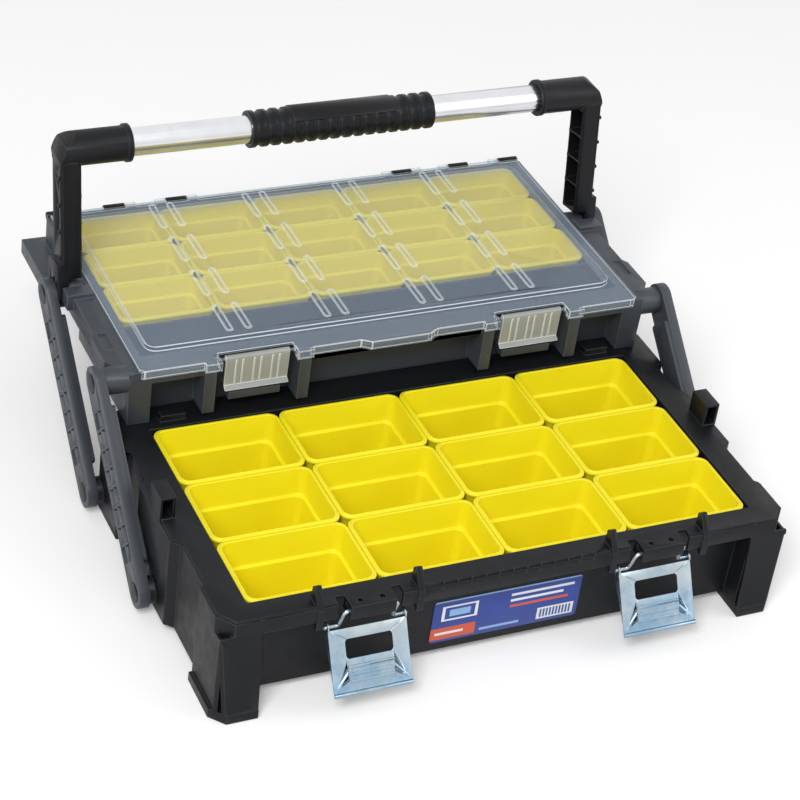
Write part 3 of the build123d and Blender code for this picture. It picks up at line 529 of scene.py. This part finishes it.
def finish_named(name):
    """A finish by name, made when it is first asked for."""
    if name in materials:
        return materials[name]
    colours = bpy.context.scene.tool_box_colours
    black = {"Specular_IOR_Level": 0.22}
    # The edge factors set how much paler the painted highlight on the rounded edges is
    makers = {
        "case_black": lambda: moulded(
            "case_black", colours.case_black, 0.40, 1500.0, 0.25, edge=4.5, **black
        ),
        "case_grey": lambda: moulded(
            "case_grey", colours.case_grey, 0.40, 1500.0, 0.25, edge=1.9, Specular_IOR_Level=0.35
        ),
        "trim_black": lambda: moulded(
            "trim_black", colours.case_black, 0.42, 2000.0, 0.2, edge=3.0, **black
        ),
        "grip_black": lambda: moulded(
            "grip_black", colours.case_black, 0.30, 2500.0, 0.3, edge=3.0, **black
        ),
        "bin_yellow": lambda: moulded(
            "bin_yellow",
            colours.bin_yellow,
            0.38,
            900.0,
            0.12,
            0.04,
            Subsurface_Weight=0.12,
            Subsurface_Scale=0.004,
        ),
        # The last two values of each frosted finish are the opacity and colour of the painted
        # highlight on the rounded edges
        "lid_clear": lambda: frosted(
            "lid_clear", colours.lid_clear, 0.14, 0.28, 0.85, (0.88, 0.92, 0.96)
        ),
        "clip_clear": lambda: frosted(
            "clip_clear", colours.clip_clear, 0.48, 0.30, 0.9, (0.80, 0.82, 0.80)
        ),
        "zinc_steel": lambda: zinc_plate(
            "zinc_steel", colours.zinc, colours.zinc_blue, 22.0 * MM, 70.0 * MM
        ),
        "tube_aluminium": lambda: drawn_metal(
            "tube_aluminium", colours.tube, 0.20, (6.0, 500.0, 500.0), 1.0, 0.12
        ),
        "label_print": label_print,
    }
    materials[name] = makers[name]()
    return materials[name]


def label_print():
    """A plain printed sticker: a blue field with blocks and fine lines of colour."""
    low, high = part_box("front_label")
    material, tree, shader, place = new_material("label_print", LABEL_FIELD, 0.30)
    split = tree.nodes.new("ShaderNodeSeparateXYZ")
    tree.links.new(place, split.inputs["Vector"])
    across = spread(tree, split.outputs["X"], 0.0, 1.0, low.x, high.x)
    up = spread(tree, split.outputs["Z"], 0.0, 1.0, low.z, high.z)
    clouds = noise(tree, place, 60.0, 3.0)
    print_colour = tinted(tree, clouds, shaded(LABEL_FIELD, 0.75), shaded(LABEL_FIELD, 1.3))
    for left, right, foot, head, colour in LABEL_BLOCKS:
        sides = between(tree, across, left, right)
        ends = between(tree, up, foot, head)
        mask = combined(tree, "MULTIPLY", sides, ends)
        print_colour = over_paint(tree, print_colour, mask, colour)
    tree.links.new(print_colour, shader.inputs["Base Color"])
    bump(tree, shader, noise(tree, place, 300.0, 3.0), 0.1, 0.05 * MM)
    return material


def rounded_ring(width, depth, radius, steps):
    """Points round a rectangle with round corners, anticlockwise about the origin."""
    points = []
    for number, (sx, sy) in enumerate(((1, 1), (-1, 1), (-1, -1), (1, -1))):
        for step in range(steps + 1):
            turn = number * pi / 2 + step / steps * pi / 2
            points.append(
                (
                    sx * (width / 2 - radius) + radius * cos(turn),
                    sy * (depth / 2 - radius) + radius * sin(turn),
                )
            )
    return points


def filleted(corners, steps=3):
    """A polyline whose corners, each (across, up, radius), are rounded."""
    points = []
    last = len(corners) - 1
    for number, (across, up, radius) in enumerate(corners):
        here = Vector((across, up))
        if number in (0, last) or radius == 0.0:
            points.append(here)
            continue
        before = Vector(corners[number - 1][:2])
        after = Vector(corners[number + 1][:2])
        start = here + (before - here).normalized() * min(radius, (before - here).length * 0.48)
        end = here + (after - here).normalized() * min(radius, (after - here).length * 0.48)
        for step in range(steps + 1):
            share = step / steps
            points.append(
                start * (1 - share) ** 2 + here * 2 * share * (1 - share) + end * share**2
            )
    return points


def lofted(name, rings):
    """A mesh from a stack of rings of points, with closed ends and smooth faces."""
    work = bmesh.new()
    rows = [[work.verts.new(point) for point in ring] for ring in rings]
    count = len(rows[0])
    for lower, upper in zip(rows, rows[1:]):
        for number in range(count):
            after = (number + 1) % count
            work.faces.new((lower[number], lower[after], upper[after], upper[number]))
    work.faces.new(list(reversed(rows[0])))
    work.faces.new(rows[-1])
    bmesh.ops.recalc_face_normals(work, faces=work.faces)
    for face in work.faces:
        face.smooth = True
    mesh = bpy.data.meshes.new(name)
    work.to_mesh(mesh)
    work.free()
    return mesh


def bin_shell(node, ledge):
    """A moulded bin with a beaded lip, a ledge inside and round corners."""
    sizes = bpy.context.scene.tool_box_sizes
    low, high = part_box(node)
    centre = (low + high) / 2
    width = high.x - low.x
    depth = high.y - low.y
    height = high.z - low.z
    wall = sizes.bin_wall
    lip = 1.4 * MM
    lip_height = 3.0 * MM
    step = 3.0 * MM
    draft = 1.5 * MM
    bead = 0.8 * MM
    floor_edge = 8.0 * MM
    underside_edge = 6.0 * MM
    least_radius = 2.5 * MM
    # Each corner of the section: inset from the rim, height from the rim, and radius. It runs
    # from the underside, up the outside and over the lip, to the floor inside.
    corners = (
        (lip + step + draft + underside_edge, -height, 0.0),
        (lip + step + draft, -height, 2.0 * MM),
        (lip + step, -ledge, 0.5 * MM),
        (lip + draft / 2, -ledge, 0.8 * MM),
        (lip, -lip_height, 0.4 * MM),
        (0.0, -lip_height, 0.4 * MM),
        (0.0, -bead, 0.5 * MM),
        (lip, -bead, 0.4 * MM),
        (lip + 0.2 * MM, 0.0, 0.5 * MM),
        (lip + wall, 0.0, 0.7 * MM),
        (lip + wall + draft / 2, wall - ledge, 1.0 * MM),
        (lip + wall + step, wall - ledge, 1.2 * MM),
        (lip + wall + step + draft, wall - height, 3.5 * MM),
        (lip + wall + step + draft + floor_edge, wall - height, 0.0),
    )
    rings = []
    for inset, drop in filleted(corners):
        radius = max(sizes.bin_radius - inset * CORNER_SHRINK, least_radius)
        ring = rounded_ring(width - 2 * inset, depth - 2 * inset, radius, CORNER_STEPS)
        rings.append([(centre.x + x, centre.y + y, high.z + drop) for x, y in ring])
    piece = add_object(node + "_shell", lofted(node + "_shell", rings), finish_named("bin_yellow"))
    return settle(piece, body_of(node), "bin_yellow", node)


class TOOLBOX_OT_lower_case(bpy.types.Operator):
    """Builds the lower case"""

    bl_idname = "toolbox.lower_case"
    bl_label = "Lower case"

    def execute(self, context):
        edge = context.scene.tool_box_sizes.edge
        softened("lower_case", finish_named("case_black"), "case_black", edge)
        return {"FINISHED"}


class TOOLBOX_OT_bins(bpy.types.Operator):
    """Builds the bins of both cases"""

    bl_idname = "toolbox.bins"
    bl_label = "Bins"

    def execute(self, context):
        sizes = context.scene.tool_box_sizes
        for node in LOWER_BINS:
            bin_shell(node, sizes.lower_ledge)
        for node in UPPER_BINS:
            bin_shell(node, sizes.upper_ledge)
        return {"FINISHED"}


class TOOLBOX_OT_upper_case(bpy.types.Operator):
    """Builds the upper case"""

    bl_idname = "toolbox.upper_case"
    bl_label = "Upper case"

    def execute(self, context):
        edge = context.scene.tool_box_sizes.edge
        softened("upper_case", finish_named("case_grey"), "case_grey", edge)
        return {"FINISHED"}


class TOOLBOX_OT_lid(bpy.types.Operator):
    """Builds the lid, its hinge and its clips"""

    bl_idname = "toolbox.lid"
    bl_label = "Lid"

    def execute(self, context):
        fine = context.scene.tool_box_sizes.fine_edge
        softened("lid", finish_named("lid_clear"), "lid_clear", fine)
        for side in SIDES:
            softened(f"lid_clip_{side}", finish_named("clip_clear"), "lid_clear", fine)
        softened("lid_hinge_tabs", finish_named("trim_black"), "trim_black", fine)
        softened("lid_hinge_rod", finish_named("zinc_steel"), "zinc_steel", fine)
        return {"FINISHED"}


class TOOLBOX_OT_arms(bpy.types.Operator):
    """Builds the four arms and their pins"""

    bl_idname = "toolbox.arms"
    bl_label = "Arms"

    def execute(self, context):
        fine = context.scene.tool_box_sizes.fine_edge
        for side in SIDES:
            for end in ("front", "rear"):
                softened(f"{end}_arm_{side}", finish_named("case_grey"), "case_grey", fine)
                for level in ("lower", "upper"):
                    pin = f"{end}_{level}_pin_{side}"
                    softened(pin, finish_named("trim_black"), "trim_black", fine)
        return {"FINISHED"}


class TOOLBOX_OT_latches(bpy.types.Operator):
    """Builds the two draw latches"""

    bl_idname = "toolbox.latches"
    bl_label = "Latches"

    def execute(self, context):
        fine = context.scene.tool_box_sizes.fine_edge
        zinc = finish_named("zinc_steel")
        for side in SIDES:
            softened(f"latch_plate_{side}", zinc, "zinc_steel", fine)
            softened(f"latch_bail_{side}", zinc, "zinc_steel", fine, WIRE_ANGLE)
        return {"FINISHED"}


class TOOLBOX_OT_handle(bpy.types.Operator):
    """Builds the carry handle"""

    bl_idname = "toolbox.handle"
    bl_label = "Handle"

    def execute(self, context):
        sizes = context.scene.tool_box_sizes
        for side in SIDES:
            softened(f"handle_upright_{side}", finish_named("case_black"), "case_black", sizes.edge)
        softened("handle_tube", finish_named("tube_aluminium"), "tube_aluminium", sizes.fine_edge)
        softened("handle_grip", finish_named("grip_black"), "case_black", sizes.edge)
        return {"FINISHED"}


class TOOLBOX_OT_label(bpy.types.Operator):
    """Gives the front label its print"""

    bl_idname = "toolbox.label"
    bl_label = "Label"

    def execute(self, context):
        softened("front_label", finish_named("label_print"), "label_print", LABEL_EDGE)
        return {"FINISHED"}


# The camera stands where the photograph was taken from
VIEW_BEHIND_FEET = 0.2157
VIEW_TARGET = Vector((0.0023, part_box("lower_case")[0].y + VIEW_BEHIND_FEET, 0.0762))
VIEW_DISTANCE = 1.7954
VIEW_AZIMUTH = radians(-28.565)
VIEW_ELEVATION = radians(35.268)
VIEW_ROLL = radians(8.346)
VIEW_LENS = 108.742


def add_camera():
    """The camera, at the photograph's distance, height and roll."""
    back = Vector(
        (
            sin(VIEW_AZIMUTH) * cos(VIEW_ELEVATION),
            -cos(VIEW_AZIMUTH) * cos(VIEW_ELEVATION),
            sin(VIEW_ELEVATION),
        )
    )
    level = Vector((cos(VIEW_AZIMUTH), sin(VIEW_AZIMUTH), 0.0))
    upright = back.cross(level)
    right = level * cos(VIEW_ROLL) + upright * sin(VIEW_ROLL)
    up = back.cross(right)
    data = bpy.data.cameras.new("view")
    data.lens = VIEW_LENS
    data.sensor_width = 36.0
    data.clip_end = 20.0
    camera = bpy.data.objects.new("view", data)
    camera.matrix_world = Matrix(
        (
            (right.x, up.x, back.x, VIEW_TARGET.x + back.x * VIEW_DISTANCE),
            (right.y, up.y, back.y, VIEW_TARGET.y + back.y * VIEW_DISTANCE),
            (right.z, up.z, back.z, VIEW_TARGET.z + back.z * VIEW_DISTANCE),
            (0.0, 0.0, 0.0, 1.0),
        )
    )
    bpy.context.scene.collection.objects.link(camera)
    bpy.context.scene.camera = camera


FLOOR_REACH = 4.0
FLOOR_DROP = 0.5 * MM
# How much paler the camera sees the floor, and how strongly the white sky lights the object
FLOOR_LIFT = 0.16
SKY_ON_OBJECT = 0.55
LAMP_TARGET = Vector((0.0, 0.0, 0.08))
# Name, place, size and power of each soft box
LAMPS = (
    ("key", (-1.2, -1.4, 1.9), 0.9, 40.0),
    ("fill", (1.6, -0.9, 1.2), 1.2, 9.0),
)


def add_lamp(name, place, size, power):
    """A square soft box that points at the middle of the object."""
    data = bpy.data.lights.new(name, "AREA")
    data.size = size
    data.energy = power
    lamp = bpy.data.objects.new(name, data)
    lamp.location = place
    lamp.rotation_euler = (LAMP_TARGET - Vector(place)).to_track_quat("-Z", "Y").to_euler()
    bpy.context.scene.collection.objects.link(lamp)


class TOOLBOX_OT_stage(bpy.types.Operator):
    """Builds the floor, the lights and the camera"""

    bl_idname = "toolbox.stage"
    bl_label = "Stage"

    def execute(self, context):
        work = bmesh.new()
        bmesh.ops.create_grid(work, x_segments=1, y_segments=1, size=FLOOR_REACH)
        mesh = bpy.data.meshes.new("floor")
        work.to_mesh(mesh)
        work.free()
        material, tree, shader, place = new_material(
            "floor_paint", (0.9, 0.9, 0.9), 0.7, Specular_IOR_Level=0.1
        )
        tree.links.new(
            tinted(tree, noise(tree, place, 6.0), (0.89, 0.89, 0.89), (0.91, 0.91, 0.91)),
            shader.inputs["Base Color"],
        )
        # The camera sees the floor a little paler, and the object's shadow stays on it
        glow = tree.nodes.new("ShaderNodeLightPath").outputs["Is Camera Ray"]
        lift = combined(tree, "MULTIPLY", glow, FLOOR_LIFT)
        tree.links.new(lift, shader.inputs["Emission Strength"])
        shader.inputs["Emission Color"].default_value = (1.0, 1.0, 1.0, 1.0)
        floor = add_object("floor", mesh, material)
        floor.location.z = -FLOOR_DROP
        world = bpy.data.worlds.new("studio")
        context.scene.world = world
        world.use_nodes = True
        tree = world.node_tree
        paths = tree.nodes.new("ShaderNodeLightPath")
        seen = tree.nodes.new("ShaderNodeMix")
        seen.inputs[2].default_value = SKY_ON_OBJECT
        seen.inputs[3].default_value = 1.0
        shown = paths.outputs["Is Camera Ray"]
        for ray in ("Is Glossy Ray", "Is Transmission Ray"):
            shown = combined(tree, "MAXIMUM", shown, paths.outputs[ray])
        tree.links.new(shown, seen.inputs[0])
        background = tree.nodes["Background"]
        background.inputs["Color"].default_value = (1.0, 1.0, 1.0, 1.0)
        tree.links.new(seen.outputs[0], background.inputs["Strength"])
        for lamp in LAMPS:
            add_lamp(*lamp)
        add_camera()
        context.scene.view_settings.view_transform = "Standard"
        return {"FINISHED"}


OPERATORS = (
    TOOLBOX_OT_lower_case,
    TOOLBOX_OT_bins,
    TOOLBOX_OT_upper_case,
    TOOLBOX_OT_lid,
    TOOLBOX_OT_arms,
    TOOLBOX_OT_latches,
    TOOLBOX_OT_handle,
    TOOLBOX_OT_label,
    TOOLBOX_OT_stage,
)


class TOOLBOX_PT_panel(bpy.types.Panel):
    """Lists the steps that build the tool box"""

    bl_idname = "TOOLBOX_PT_panel"
    bl_label = "Tool Box"
    bl_space_type = "VIEW_3D"
    bl_region_type = "UI"
    bl_category = "Tool Box"

    def draw(self, context):
        layout = self.layout
        for group in (context.scene.tool_box_sizes, context.scene.tool_box_colours):
            for name in group.__annotations__:
                layout.prop(group, name)
        for operator in OPERATORS:
            layout.operator(operator.bl_idname)


CLASSES = (ToolBoxSizes, ToolBoxColours, *OPERATORS, TOOLBOX_PT_panel)


def register():
    """Registers the classes and their properties."""
    for kind in CLASSES:
        bpy.utils.register_class(kind)
    bpy.types.Scene.tool_box_sizes = bpy.props.PointerProperty(type=ToolBoxSizes)
    bpy.types.Scene.tool_box_colours = bpy.props.PointerProperty(type=ToolBoxColours)


def unregister():
    """Removes the properties and the classes."""
    del bpy.types.Scene.tool_box_colours
    del bpy.types.Scene.tool_box_sizes
    for kind in reversed(CLASSES):
        bpy.utils.unregister_class(kind)


def main():
    """Builds everything in order."""
    register()
    bpy.ops.toolbox.lower_case()
    bpy.ops.toolbox.bins()
    bpy.ops.toolbox.upper_case()
    bpy.ops.toolbox.lid()
    bpy.ops.toolbox.arms()
    bpy.ops.toolbox.latches()
    bpy.ops.toolbox.handle()
    bpy.ops.toolbox.label()
    bpy.ops.toolbox.stage()


if __name__ == "__main__":
    main()
